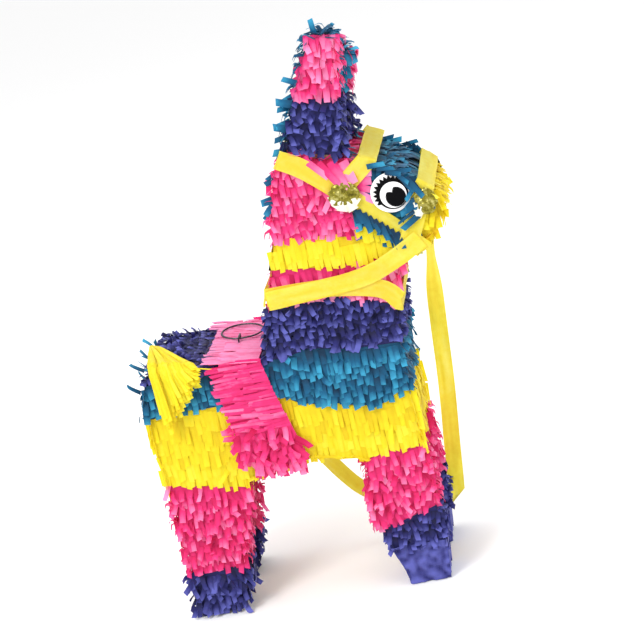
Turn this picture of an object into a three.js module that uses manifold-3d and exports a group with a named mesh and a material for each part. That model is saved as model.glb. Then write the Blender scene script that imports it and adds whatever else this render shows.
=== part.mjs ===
import * as THREE from 'three';
import { mergeVertices } from 'three/addons/utils/BufferGeometryUtils.js';
import Module from 'manifold-3d';

// A donkey pinata: a flat-sided cardboard box body dressed in bands of fringed crepe paper.
// X runs from the tail to the nose, Y to the donkey's left, Z up. The origin is on the floor, in the middle.

const wasm = await Module();
wasm.setup();

// ---- Driving dimensions, millimetres ----

const HALF_WIDTH = 57.5; // middle plane to the crepe on a side
const CREPE = 6.5; // depth of the crepe over the cardboard
const BOARD = 3; // cardboard thickness
const GAP = 0.3; // clearance between pieces that touch
const LEG_INSIDE = 20; // middle plane to the crepe on a leg's inner side
const EAR_INSIDE = 26.5; // middle plane to the crepe on an ear's inner side
const LEG_TOP = 147.2; // the leg boxes end here, under the belly strip
const LEFT_EAR_HEIGHT = 0.72; // height of the left ear over that of the right
const RIBBON = 1.6; // thickness of a crepe ribbon
const RIBBON_WIDTH = 18;
const SADDLE = 4.5; // how far the saddle band stands out of the body's crepe
const OUTERMOST = 66; // middle plane to the outer face of the tail and of the loose rein
const WIRE_RADIUS = 0.9;
const RIGHT = -1;
const LEFT = 1;
const SIDES = { right: RIGHT, left: LEFT };

// Side outlines of the crepe, counter-clockwise, as (x, z).
const BODY = outline([
  [-163, 141], [-77, 141], [-11, 150], [23, 146], [35, 141], [99, 141], [99, 224], [102, 264],
  [108, 303], [120, 336], [136, 344], [152, 348], [166, 368], [163, 385], [134, 411], [84, 437],
  [32, 452], [13, 426], [0, 375], [-16, 318], [-35, 259], [-84, 264], [-148, 270], [-158, 257],
  [-163, 217],
]);
// The first and last corners of each body strip in the outline above.
const BODY_STRIPS = {
  belly_strip: [0, 5],
  chest_strip: [5, 8],
  jaw_strip: [8, 11],
  muzzle_strip: [11, 13],
  forehead_strip: [13, 16],
  nape_strip: [16, 20],
  back_strip: [20, 22],
  rump_strip: [22, 25],
};
const HIND_LEG = outline([
  [-166, 0], [-126, 0], [-110, 19], [-97, 79], [-77, 141], [-77, 170], [-163, 170], [-163, 82],
]);
const FORE_LEG = outline([
  [54, 0], [94, 0], [99, 48], [99, 170], [35, 170], [35, 141], [31, 77], [39, 52], [50, 21],
]);
const RIGHT_EAR = outline([
  [30, 428], [84, 418], [90, 448], [93, 491], [105, 543], [92, 552], [74, 547], [50, 498], [33, 455],
]);
const EAR_BASE = 448;
const LEFT_EAR = RIGHT_EAR.map((p) => new THREE.Vector2(
  p.x,
  p.y > EAR_BASE ? EAR_BASE + (p.y - EAR_BASE) * LEFT_EAR_HEIGHT : p.y,
));
const EARS = { right: RIGHT_EAR, left: LEFT_EAR };

// Lines where one colour of crepe ends and the next begins, from tail to nose, as (x, z).
const HEAD_LINE = [[-60, 376], [29, 369], [81, 361]];
const FACE_LINE = [[81, 361], [85, 406], [97, 436], [105, 480]];
const JAW_LINE = [[81, 361], [136, 338]];
const MUZZLE_LINE = [[136, 338], [141, 371], [156, 397], [175, 424]];
const NECK_LINE = [[-60, 347], [-8, 345], [50, 337], [150, 335]];
const COLLAR_LINE = [[-175, 300], [-60, 310], [42, 307], [105, 289], [150, 280]];
const BACK_LINE = [[-180, 258], [-37, 254], [12, 262], [50, 254], [130, 250]];
const FLANK_LINE = [[-180, 221], [-30, 222], [-10, 209], [64, 192], [81, 201], [130, 205]];
const HIND_KNEE_LINE = [[-180, 152], [-60, 128]];
const FORE_KNEE_LINE = [[0, 136], [130, 150]];
const HIND_FOOT_LINE = [[-180, 48], [-60, 48]];
const FORE_FOOT_LINE = [[0, 52], [130, 88]];
const HIND_FLOOR_LINE = [[-180, 0.5], [-60, 0.5]];
const FORE_FLOOR_LINE = [[0, 0.5], [130, 0.5]];

// Dressing: centre lines of the ribbons and places of the small trim, as (x, z).
const CROWN = [[8, 469], [52, 430], [102, 379], [140, 336]];
const BROW = [[72, 404], [128, 455]];
const NOSE_BAND = [[122, 337], [145, 384], [160, 415]];
const COLLAR = [[-45, 323], [45, 319], [91, 309], [109, 291], [125, 272]];
const RIGHT_REIN = [[138, 349], [111, 335], [80, 324], [36, 320], [-13, 318]];
const LEFT_REIN = [
  [150, 383], [141, 345], [133, 304], [127, 247], [119, 160], [111, 93], [109, 36], [94, 23],
  [50, 34], [9, 55], [-19, 93], [-38, 135], [-45, 165],
];
const LEFT_REIN_WIDTH = 20;
const SADDLE_REGION = [[-58, 151], [-13, 151], [-31, 227], [-41, 290], [-90, 290], [-90, 266], [-79, 174]];
const TAIL_FAN = [[-156, 218], [-128, 224], [-92, 252], [-94, 262], [-138, 271], [-152, 271]];
const TAIL_ROOT = { back: -156, front: -140, bottom: 271, top: 276, inner: 2 };
const EYE = { x: 121, z: 397, radius: 17 };
const ROSETTES = { cheek: { x: 79, z: 404, radius: 13 }, nose: { x: 150, z: 383, radius: 12 } };
const TRIM_INNER = HALF_WIDTH + 2.2;
const TRIM_OUTER = HALF_WIDTH + 4;

// Fill flap: a cardboard lid over the hole in the back, with its own crepe on top.
const FLAP = { back: -138, front: -98, halfWidth: 31, backGap: 1.5 };
const FILL_HOLE = { back: -133, front: -103, halfWidth: 26 };

// Hanger: a wire loop swinging in a staple that goes through the back and a plate under it.
const HANGER_PLATE = { back: -84, front: -44, halfWidth: 28, thickness: 4 };
const HANGER_X = -64;
const HANGER_RING = 21;
const STAPLE = { halfWidth: 6, crown: 3.4, foot: -22, toe: 14 };
const BACK_SLOPE = Math.atan2(5, 49);
const SADDLE_TOP = 264 - ((HANGER_X + 84) * 5) / 49 + SADDLE;
const PIVOT_HEIGHT = 1.2;

const COLOURS = {
  cardboard: 0xb08a5b,
  purple: 0x3f2f96,
  teal: 0x1583a6,
  yellow: 0xf7e21c,
  pink: 0xff3f8e,
  foil: 0x8f7f2a,
  paper: 0xf4f4f4,
  steel: 0x6b6f78,
};

// ---- Shape helpers ----

function outline(points) {
  return points.map(([x, z]) => new THREE.Vector2(x, z));
}

function crossing(a, b) {
  const turn = a.along.cross(b.along);
  if (Math.abs(turn) < 1e-6) {
    return b.point.clone();
  }
  const reach = b.point.clone().sub(a.point).cross(b.along) / turn;
  return a.point.clone().addScaledVector(a.along, reach);
}

// Moves each edge of a closed outline inwards by depth; an edge on the floor stays there.
function inset(points, depth) {
  const edges = points.map((start, i) => {
    const end = points[(i + 1) % points.length];
    const along = end.clone().sub(start).normalize();
    const onFloor = start.y === 0 && end.y === 0;
    const inward = new THREE.Vector2(-along.y, along.x).multiplyScalar(onFloor ? 0 : depth);
    return { point: start.clone().add(inward), along };
  });
  return edges.map((edge, i) => crossing(edges[(i + edges.length - 1) % edges.length], edge));
}

// The outline of a strip of the given width along an open line.
function ribbonOutline(line, width) {
  const points = outline(line);
  const forward = points.map((p, i) => {
    const before = points[Math.max(i - 1, 0)];
    const after = points[Math.min(i + 1, points.length - 1)];
    return after.clone().sub(before).normalize();
  });
  const edge = (sign) => points.map((p, i) => new THREE.Vector2(
    p.x - (sign * forward[i].y * width) / 2,
    p.y + (sign * forward[i].x * width) / 2,
  ));
  return [...edge(-1), ...edge(1).reverse()];
}

// The area inside a closed line, kept half a gap away from it.
function area(line) {
  return inset(outline(line), GAP / 2);
}

// The area between two lines that both run from tail to nose.
function between(lower, upper) {
  return area([...lower, ...upper.slice().reverse()]);
}

function toSolid(geometry) {
  const plain = geometry.clone();
  plain.deleteAttribute('normal');
  plain.deleteAttribute('uv');
  const merged = mergeVertices(plain, 1e-4);
  return new wasm.Manifold(new wasm.Mesh({
    numProp: 3,
    vertProperties: new Float32Array(merged.attributes.position.array),
    triVerts: new Uint32Array(merged.index.array),
  }));
}

function toGeometry(solid) {
  const mesh = solid.getMesh();
  const geometry = new THREE.BufferGeometry();
  geometry.setAttribute('position', new THREE.BufferAttribute(new Float32Array(mesh.vertProperties), 3));
  geometry.setIndex(new THREE.BufferAttribute(new Uint32Array(mesh.triVerts), 1));
  geometry.computeVertexNormals();
  return geometry;
}

// A side outline pushed across the donkey from y = from to y = to.
function prism(points, from, to) {
  const depth = to - from;
  const geometry = new THREE.ExtrudeGeometry(new THREE.Shape(points), { depth, bevelEnabled: false });
  geometry.rotateX(Math.PI / 2);
  geometry.translate(0, to, 0);
  return toSolid(geometry);
}

function sidePrism(points, side, inner, outer) {
  return side === LEFT ? prism(points, inner, outer) : prism(points, -outer, -inner);
}

function block(xs, ys, zs) {
  const geometry = new THREE.BoxGeometry(xs[1] - xs[0], ys[1] - ys[0], zs[1] - zs[0]);
  geometry.translate((xs[0] + xs[1]) / 2, (ys[0] + ys[1]) / 2, (zs[0] + zs[1]) / 2);
  return toSolid(geometry);
}

// The body without legs and ears, its whole surface moved in by depth.
function bodySolid(depth) {
  return prism(inset(BODY, depth), depth - HALF_WIDTH, HALF_WIDTH - depth);
}

function legSolid(leg, side, depth) {
  return sidePrism(inset(leg, depth), side, LEG_INSIDE + depth, HALF_WIDTH - depth);
}

function earSolid(name, depth) {
  return sidePrism(inset(EARS[name], depth), SIDES[name], EAR_INSIDE + depth, HALF_WIDTH - depth);
}

// Body, legs and ears as one solid, its surface moved in by depth.
function donkeySolid(depth) {
  let solid = bodySolid(depth);
  for (const [name, side] of Object.entries(SIDES)) {
    solid = solid.add(legSolid(HIND_LEG, side, depth));
    solid = solid.add(legSolid(FORE_LEG, side, depth));
    solid = solid.add(earSolid(name, depth));
  }
  return solid;
}

// A board of the given thickness just inside the closed outline's edge, between two of its corners.
function edgeRegion(points, first, last, thickness) {
  const inner = inset(points, thickness);
  const pick = (list) => {
    const picked = [];
    for (let i = first; i <= last; i += 1) {
      picked.push(list[i % list.length].clone());
    }
    shorten(picked);
    picked.reverse();
    shorten(picked);
    return picked.reverse();
  };
  return [...pick(points), ...pick(inner).reverse()];
}

// Pulls the first point of a line half a gap towards the second.
function shorten(line) {
  const along = line[1].clone().sub(line[0]).normalize();
  line[0].addScaledVector(along, GAP / 2);
}

const pinata = new THREE.Group();

function addPart(name, solid, colour, roughness = 0.9, metalness = 0) {
  const geometry = solid instanceof THREE.BufferGeometry ? solid : toGeometry(solid);
  const material = new THREE.MeshStandardMaterial({ color: COLOURS[colour], roughness, metalness });
  const mesh = new THREE.Mesh(geometry, material);
  mesh.name = name;
  pinata.add(mesh);
  return mesh;
}

// ---- Hanger ----

// A wire along a row of points, made of rods with a ball at each corner.
function wireSolid(points, radius) {
  let solid = null;
  const join = (piece) => {
    solid = solid ? solid.add(piece) : piece;
  };
  points.forEach((point, i) => {
    const ball = new THREE.SphereGeometry(radius, 8, 6);
    ball.rotateX(Math.PI / 2);
    ball.translate(point.x, point.y, point.z);
    join(toSolid(ball));
    if (i > 0) {
      const along = point.clone().sub(points[i - 1]);
      const rod = new THREE.CylinderGeometry(radius, radius, along.length(), 8);
      const turn = new THREE.Quaternion().setFromUnitVectors(
        new THREE.Vector3(0, 1, 0),
        along.clone().normalize(),
      );
      rod.applyQuaternion(turn);
      const middle = point.clone().add(points[i - 1]).multiplyScalar(0.5);
      rod.translate(middle.x, middle.y, middle.z);
      join(toSolid(rod));
    }
  });
  return solid;
}

// The staple's legs, widened by clearance, to cut its way through everything under the saddle.
function staplePath(clearance) {
  let cut = null;
  for (const side of [RIGHT, LEFT]) {
    const hole = new THREE.CylinderGeometry(
      WIRE_RADIUS + clearance,
      WIRE_RADIUS + clearance,
      2 * -STAPLE.foot,
      8,
    );
    hole.rotateX(Math.PI / 2);
    hole.translate(0, side * STAPLE.halfWidth, 0);
    hole.rotateY(BACK_SLOPE);
    hole.translate(HANGER_X, 0, SADDLE_TOP);
    cut = cut ? cut.add(toSolid(hole)) : toSolid(hole);
  }
  return cut;
}

const stapleHoles = staplePath(0.5);

function addHanger() {
  const hanger = new THREE.Group();
  hanger.position.set(HANGER_X, 0, SADDLE_TOP);
  hanger.rotation.y = BACK_SLOPE;
  pinata.add(hanger);

  const staplePoints = [
    [-STAPLE.toe, STAPLE.foot], [-STAPLE.halfWidth, STAPLE.foot], [-STAPLE.halfWidth, STAPLE.crown],
    [STAPLE.halfWidth, STAPLE.crown], [STAPLE.halfWidth, STAPLE.foot], [STAPLE.toe, STAPLE.foot],
  ].map(([y, z]) => new THREE.Vector3(0, y, z));
  const staple = addPart('hanger_staple', wireSolid(staplePoints, WIRE_RADIUS), 'steel', 0.4, 1);
  hanger.add(staple);

  const ring = new THREE.TorusGeometry(HANGER_RING, WIRE_RADIUS, 8, 28);
  ring.rotateZ(Math.PI / 28);
  const loop = addPart('hanger_loop', ring, 'steel', 0.4, 1);
  loop.position.set(0, HANGER_RING * Math.cos(Math.PI / 28), PIVOT_HEIGHT);
  hanger.add(loop);

  const plateTop = CREPE + BOARD + GAP;
  const plate = bodySolid(plateTop)
    .subtract(bodySolid(plateTop + HANGER_PLATE.thickness))
    .intersect(block(
      [HANGER_PLATE.back, HANGER_PLATE.front],
      [-HANGER_PLATE.halfWidth, HANGER_PLATE.halfWidth],
      [230, 300],
    ));
  addPart('hanger_plate', plate.subtract(stapleHoles), 'cardboard');
}

// ---- Cardboard box ----

function addSidePanels() {
  for (const [name, side] of Object.entries(SIDES)) {
    const outer = HALF_WIDTH - CREPE;
    const cut = (points) => sidePrism(inset(points, CREPE), side, outer - BOARD, outer);
    const panel = cut(BODY).add(cut(HIND_LEG)).add(cut(FORE_LEG)).add(cut(EARS[name]));
    addPart(`${name}_side_panel`, panel, 'cardboard');
  }
}

const INSIDE = HALF_WIDTH - CREPE - BOARD - GAP; // middle plane to the ends of the strips

function addBodyStrips() {
  const core = inset(BODY, CREPE);
  for (const [name, [first, last]] of Object.entries(BODY_STRIPS)) {
    let strip = prism(edgeRegion(core, first, last, BOARD), -INSIDE, INSIDE);
    if (name === 'back_strip') {
      const halfWidth = FILL_HOLE.halfWidth;
      strip = strip
        .subtract(block([FILL_HOLE.back, FILL_HOLE.front], [-halfWidth, halfWidth], [230, 290]))
        .subtract(stapleHoles);
    }
    if (name === 'belly_strip') {
      strip = openLegTops(strip);
    }
    addPart(name, strip, 'cardboard');
  }
}

// Over each leg the belly strip is narrow, so that the leg boxes open into the body.
function openLegTops(strip) {
  const narrow = LEG_INSIDE + CREPE + BOARD;
  let open = strip;
  for (const side of Object.values(SIDES)) {
    for (const leg of [HIND_LEG, FORE_LEG]) {
      open = open.subtract(sidePrism(inset(leg, CREPE - GAP), side, narrow, HALF_WIDTH));
    }
  }
  return open;
}

function addLegBoxes() {
  const below = block([-200, 200], [-100, 100], [-1, LEG_TOP]);
  const inner = LEG_INSIDE + CREPE;
  for (const [name, side] of Object.entries(SIDES)) {
    for (const [place, leg] of Object.entries({ hind: HIND_LEG, fore: FORE_LEG })) {
      const core = inset(leg, CREPE);
      const panel = sidePrism(core, side, inner, inner + BOARD).intersect(below);
      const box = sidePrism(core, side, inner + BOARD + GAP, INSIDE);
      const hollow = sidePrism(insetWithSole(core), side, inner, HALF_WIDTH);
      addPart(`${name}_${place}_leg_inner_panel`, panel, 'cardboard');
      addPart(`${name}_${place}_leg_edge_strip`, box.subtract(hollow).intersect(below), 'cardboard');
    }
  }
}

// The hollow of a leg: one board inside its outline, the sole included.
function insetWithSole(core) {
  return inset(core, BOARD).map((p) => new THREE.Vector2(p.x, Math.max(p.y, BOARD)));
}

function addEarBoxes() {
  const inner = EAR_INSIDE + CREPE;
  const head = bodySolid(CREPE - GAP);
  for (const [name, side] of Object.entries(SIDES)) {
    const core = inset(EARS[name], CREPE);
    const panel = sidePrism(core, side, inner, inner + BOARD).subtract(head);
    const box = sidePrism(core, side, inner + BOARD + GAP, INSIDE);
    const hollow = sidePrism(inset(core, BOARD), side, inner, HALF_WIDTH);
    addPart(`${name}_ear_inner_panel`, panel, 'cardboard');
    addPart(`${name}_ear_edge_strip`, box.subtract(hollow).subtract(head), 'cardboard');
  }
}

function addFillFlap() {
  const footprint = block([FLAP.back, FLAP.front], [-FLAP.halfWidth, FLAP.halfWidth], [230, 290]);
  const lidBottom = CREPE - GAP;
  const lidTop = lidBottom - BOARD;
  const lid = bodySolid(lidTop).subtract(bodySolid(lidBottom)).intersect(footprint);
  addPart('fill_flap', lid, 'cardboard');
  const cover = bodySolid(0).subtract(bodySolid(lidTop - GAP)).intersect(footprint);
  addPart('fill_flap_crepe', cover, 'purple');
}

// ---- Crepe bands ----

const crepeCore = donkeySolid(CREPE - GAP);
const across = 100;

function addBand(name, dressed, region, colour) {
  addPart(name, dressed.intersect(prism(region, -across, across)), colour);
}

function addBodyBands() {
  const skin = donkeySolid(0).subtract(crepeCore);
  const ears = earSolid('right', -1).add(earSolid('left', -1)).subtract(bodySolid(0));
  const dressed = skin.subtract(ears);
  addBand('head_pink_crepe', dressed, area([...HEAD_LINE, ...FACE_LINE.slice(1), [-60, 480]]), 'pink');
  const face = [...JAW_LINE, ...MUZZLE_LINE.slice(1), [175, 480], ...FACE_LINE.slice(1).reverse()];
  addBand('face_teal_crepe', dressed, area(face), 'teal');
  const muzzle = [MUZZLE_LINE[0], [200, 330], [200, 424], ...MUZZLE_LINE.slice(1).reverse()];
  addBand('muzzle_yellow_crepe', dressed, area(muzzle), 'yellow');
  const jaw = [...HEAD_LINE, JAW_LINE[1]];
  addBand('neck_yellow_crepe', dressed, between(NECK_LINE.slice(0, 3).concat([[136, 335.5]]), jaw), 'yellow');
  addBand('neck_pink_crepe', dressed, between(COLLAR_LINE.slice(1), NECK_LINE), 'pink');

  const flapHole = block(
    [FLAP.back - FLAP.backGap, FLAP.front + GAP],
    [-FLAP.halfWidth - GAP, FLAP.halfWidth + GAP],
    [230, 290],
  );
  const back = dressed.subtract(flapHole).subtract(stapleHoles);
  addBand('body_purple_crepe', back, between(BACK_LINE, COLLAR_LINE), 'purple');
  addBand('body_teal_crepe', dressed, between(FLANK_LINE, BACK_LINE), 'teal');
  const flank = prism(between([...HIND_KNEE_LINE, ...FORE_KNEE_LINE], FLANK_LINE), -across, across);
  const inside = LEG_INSIDE - GAP;
  const underside = block([-200, 200], [-inside, inside], [100, 160]);
  addPart('body_yellow_crepe', dressed.intersect(flank.add(underside)), 'yellow');

  const legZone = outline([[-200, -10], [200, -10], [200, 200], [-200, 200]]);
  for (const [name, side] of Object.entries(SIDES)) {
    const legs = dressed.intersect(sidePrism(legZone, side, LEG_INSIDE, across));
    addBand(`${name}_hind_leg_pink_crepe`, legs, between(HIND_FOOT_LINE, HIND_KNEE_LINE), 'pink');
    addBand(`${name}_fore_leg_pink_crepe`, legs, between(FORE_FOOT_LINE, FORE_KNEE_LINE), 'pink');
    addBand(`${name}_hind_foot_crepe`, legs, between(HIND_FLOOR_LINE, HIND_FOOT_LINE), 'purple');
    addBand(`${name}_fore_foot_crepe`, legs, between(FORE_FLOOR_LINE, FORE_FOOT_LINE), 'purple');
  }
}

function addEarCrepe() {
  for (const name of Object.keys(SIDES)) {
    const skin = earSolid(name, 0).subtract(crepeCore).subtract(bodySolid(-GAP));
    addPart(`${name}_ear_crepe`, skin, 'pink');
  }
}

// ---- Dressing ----

// A layer that lies over the body's crepe, from inner to outer millimetres out of it.
function layer(region, inner, outer) {
  return bodySolid(-outer).subtract(bodySolid(-inner)).intersect(prism(region, -across, across));
}

function ribbon(line) {
  return layer(ribbonOutline(line, RIBBON_WIDTH), GAP, GAP + RIBBON);
}

function widened(line) {
  return prism(ribbonOutline(line, RIBBON_WIDTH + 2 * GAP), -across, across);
}

function addRibbons() {
  const overHead = outline([[-20, 461.5], [84, 435.5], [140, 600], [-20, 600]]);
  const crown = ribbon(CROWN).subtract(prism(overHead, -across, across));
  addPart('bridle_crown_ribbon', crown, 'yellow', 0.6);
  const brow = ribbon(BROW).subtract(widened(CROWN));
  addPart('bridle_brow_ribbon', largest(brow), 'yellow', 0.6);
  const noseBand = ribbon(NOSE_BAND).subtract(widened(CROWN));
  addPart('bridle_nose_ribbon', largest(noseBand), 'yellow', 0.6);
  addPart('collar_ribbon', ribbon(COLLAR), 'yellow', 0.6);

  const inner = HALF_WIDTH + 2 * GAP + RIBBON;
  const right = sidePrism(ribbonOutline(RIGHT_REIN, RIBBON_WIDTH), RIGHT, inner, inner + RIBBON);
  addPart('right_rein', right, 'yellow', 0.6);
  const left = ribbonOutline(LEFT_REIN, LEFT_REIN_WIDTH);
  addPart('left_rein', sidePrism(left, LEFT, OUTERMOST - RIBBON, OUTERMOST), 'yellow', 0.6);
}

// The biggest connected body of a solid, so that a ribbon has no loose offcuts.
function largest(solid) {
  return solid.decompose().reduce((a, b) => (a.volume() > b.volume() ? a : b));
}

function addSaddle() {
  const band = layer(outline(SADDLE_REGION), GAP, SADDLE).subtract(stapleHoles);
  addPart('saddle_band', band, 'pink');
}

function addTail() {
  const fan = sidePrism(outline(TAIL_FAN), RIGHT, HALF_WIDTH + GAP, OUTERMOST);
  const root = block(
    [TAIL_ROOT.back, TAIL_ROOT.front],
    [-OUTERMOST, TAIL_ROOT.inner],
    [TAIL_ROOT.bottom, TAIL_ROOT.top],
  );
  addPart('tail_tassel', fan.add(root), 'yellow', 0.7);
}

function disc(place, side, inner, outer, segments) {
  const geometry = new THREE.CylinderGeometry(place.radius, place.radius, outer - inner, segments);
  geometry.translate(place.x, (side * (inner + outer)) / 2, place.z);
  return geometry;
}

function addFaceTrim() {
  for (const [name, side] of Object.entries(SIDES)) {
    addPart(`${name}_eye`, disc(EYE, side, TRIM_INNER, TRIM_OUTER, 32), 'paper', 0.6);
    for (const [place, rosette] of Object.entries(ROSETTES)) {
      const trim = disc(rosette, side, TRIM_INNER, TRIM_OUTER, 18);
      addPart(`${name}_${place}_rosette`, trim, 'foil', 0.3, 1);
    }
  }
}

addSidePanels();
addBodyStrips();
addLegBoxes();
addEarBoxes();
addFillFlap();
addHanger();
addBodyBands();
addEarCrepe();
addRibbons();
addSaddle();
addTail();
addFaceTrim();

export default pinata;
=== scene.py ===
"""Looks of the donkey pinata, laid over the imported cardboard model: rows of fringed crepe paper, ribbons,
foil rosettes, paper eyes and a tied tail. Shapes are worked out in millimetres and built in metres.
Places on a side of the donkey are (x, z); facing is -1 on its right side and 1 on its left."""

import math
import random

import bpy
from mathutils import Matrix, Vector, noise


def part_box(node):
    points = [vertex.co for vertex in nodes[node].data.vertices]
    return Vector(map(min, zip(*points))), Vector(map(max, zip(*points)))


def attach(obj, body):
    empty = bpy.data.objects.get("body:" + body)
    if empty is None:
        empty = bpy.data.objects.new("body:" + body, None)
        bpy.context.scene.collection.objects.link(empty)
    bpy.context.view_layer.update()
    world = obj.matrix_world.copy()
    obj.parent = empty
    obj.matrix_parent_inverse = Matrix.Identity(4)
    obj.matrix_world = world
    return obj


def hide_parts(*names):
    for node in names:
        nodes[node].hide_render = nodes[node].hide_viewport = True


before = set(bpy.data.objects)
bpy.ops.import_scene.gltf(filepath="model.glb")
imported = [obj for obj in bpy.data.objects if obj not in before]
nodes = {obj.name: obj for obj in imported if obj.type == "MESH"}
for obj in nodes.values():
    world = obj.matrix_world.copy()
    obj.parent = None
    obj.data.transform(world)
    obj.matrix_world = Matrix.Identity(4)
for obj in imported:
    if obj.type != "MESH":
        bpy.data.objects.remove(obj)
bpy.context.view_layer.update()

MM = 0.001
SIDES = {"right": -1, "left": 1}
DOWN = Vector((0, 0, -1))
UP = Vector((0, 0, 1))
HALF_WIDTH = 57.5          # middle plane to the crepe on a side, mm
LEG_INNER_Y = 20.0         # middle plane to the crepe on the inner side of a leg
EAR_INNER_Y = 26.5
UNDER_MM = 4.0             # how far the crepe's backing lies below the CAD crepe surface
FLOOR_CLEAR_MM = 1.0       # no paper comes closer to the floor than this


def outward(distance):
    """A step across the donkey, towards its left side where distance is positive."""
    return Vector((0, distance, 0))


def point(place, y=0):
    """A place (x, z) as a vector."""
    return Vector((place[0], y, place[1]))


def unit(count):
    """Even steps from 0 to 1."""
    return [i / count for i in range(count + 1)]


def clip(points, keep):
    """The part of a polygon where keep(point) is positive; keep is linear."""
    found = []
    for a, b in zip(points, points[1:] + points[:1]):
        at_a, at_b = keep(a), keep(b)
        if at_a > 0:
            found.append(a)
        if at_a * at_b < 0:
            t = at_a / (at_a - at_b)
            found.append(tuple(p + (q - p) * t for p, q in zip(a, b)))
    return found


def cuts(outline, axis, level):
    """Where an outline in (x, z) crosses the line on which its coordinate axis equals level, in order."""
    other = 1 - axis
    found = []
    for a, b in zip(outline, outline[1:] + outline[:1]):
        if (a[axis] <= level) != (b[axis] <= level):
            found.append(a[other] + (b[other] - a[other]) * (level - a[axis]) / (b[axis] - a[axis]))
    return sorted(found)


# ---------------------------------------------------------------- camera, light and floor

def make_camera():
    """A long lens a little to the front of the donkey's right side, rolled about its own axis."""
    azimuth, elevation, roll = (math.radians(a) for a in (10, 18, 14))
    target = Vector((0.020, 0.0, 0.268))
    back = Vector((math.sin(azimuth) * math.cos(elevation),
                   -math.cos(azimuth) * math.cos(elevation),
                   math.sin(elevation)))
    right = Vector((math.cos(azimuth), math.sin(azimuth), 0))
    up = back.cross(right)
    turned_right = right * math.cos(roll) - up * math.sin(roll)
    turned_up = right * math.sin(roll) + up * math.cos(roll)
    data = bpy.data.cameras.new("camera")
    data.lens = 91.7
    data.sensor_width = 36
    camera = bpy.data.objects.new("camera", data)
    bpy.context.scene.collection.objects.link(camera)
    axes = Matrix((turned_right, turned_up, back)).transposed().to_4x4()
    camera.matrix_world = Matrix.Translation(target + back * 1.6) @ axes
    bpy.context.scene.camera = camera


def make_light(name, place, size, power, aim=(0, 0, 0.27)):
    data = bpy.data.lights.new(name, "AREA")
    data.shape = "SQUARE"
    data.size = size
    data.energy = power
    light = bpy.data.objects.new(name, data)
    bpy.context.scene.collection.objects.link(light)
    light.location = place
    light.rotation_euler = (Vector(aim) - Vector(place)).to_track_quat("-Z", "Y").to_euler()


def make_studio():
    make_light("key", (-0.9, -1.5, 1.9), 0.9, 35)
    make_light("fill", (1.8, -1.2, 0.9), 1.4, 13)
    make_light("top", (0.1, 0.5, 2.2), 1.2, 13)
    world = bpy.data.worlds.new("studio")
    world.use_nodes = True
    background = world.node_tree.nodes["Background"]
    background.inputs["Color"].default_value = (1.0, 1.0, 1.0, 1)
    background.inputs["Strength"].default_value = 1.0
    bpy.context.scene.world = world
    bpy.context.scene.view_settings.view_transform = "Standard"

    mesh = bpy.data.meshes.new("floor")
    reach = 40.0
    mesh.from_pydata([(-reach, -reach, 0), (reach, -reach, 0), (reach, reach, 0), (-reach, reach, 0)],
                     [], [(0, 1, 2, 3)])
    floor = bpy.data.objects.new("floor", mesh)
    bpy.context.scene.collection.objects.link(floor)
    material = bpy.data.materials.new("pale_floor")
    material.use_nodes = True
    shader = material.node_tree.nodes["Principled BSDF"]
    shader.inputs["Base Color"].default_value = (0.95, 0.95, 0.95, 1)
    shader.inputs["Roughness"].default_value = 0.9
    mesh.materials.append(material)


# ---------------------------------------------------------------- materials

class Material:
    """Short calls to build one node material."""

    def __init__(self, name):
        self.material = bpy.data.materials.new(name)
        self.material.use_nodes = True
        self.tree = self.material.node_tree
        self.shader = self.tree.nodes["Principled BSDF"]
        self.place = self.node("ShaderNodeTexCoord").outputs["Object"]

    def feed(self, node, inputs):
        """Set each input to a value, or link it to a socket."""
        for name, source in inputs.items():
            if isinstance(source, bpy.types.NodeSocket):
                self.tree.links.new(source, node.inputs[name])
            else:
                node.inputs[name].default_value = source

    def node(self, kind, inputs=None, **settings):
        made = self.tree.nodes.new(kind)
        for key, value in settings.items():
            setattr(made, key, value)
        self.feed(made, inputs or {})
        return made

    def attribute(self, name, output):
        return self.node("ShaderNodeAttribute", attribute_name=name).outputs[output]

    def noise(self, vector, scale, detail=3.0, roughness=0.55):
        inputs = {"Vector": vector, "Scale": scale, "Detail": detail, "Roughness": roughness}
        return self.node("ShaderNodeTexNoise", inputs).outputs["Fac"]

    def ramp(self, factor, stops):
        made = self.node("ShaderNodeValToRGB", {"Fac": factor})
        while len(made.color_ramp.elements) < len(stops):
            made.color_ramp.elements.new(0.5)
        for element, (position, colour) in zip(made.color_ramp.elements, stops):
            element.position = position
            element.color = (*colour, 1)
        return made.outputs["Color"]

    def math(self, operation, first, second):
        return self.node("ShaderNodeMath", {0: first, 1: second}, operation=operation).outputs["Value"]

    def bump(self, height, strength, distance):
        inputs = {"Height": height, "Strength": strength, "Distance": distance}
        return self.node("ShaderNodeBump", inputs).outputs["Normal"]

    def surface(self, colour, normal, roughness, **others):
        """Feed the main shader. The names of other inputs have _ for a space."""
        self.feed(self.shader, {"Base Color": colour, "Normal": normal, "Roughness": roughness})
        self.feed(self.shader, {name.replace("_", " "): value for name, value in others.items()})
        return self.material


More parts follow.
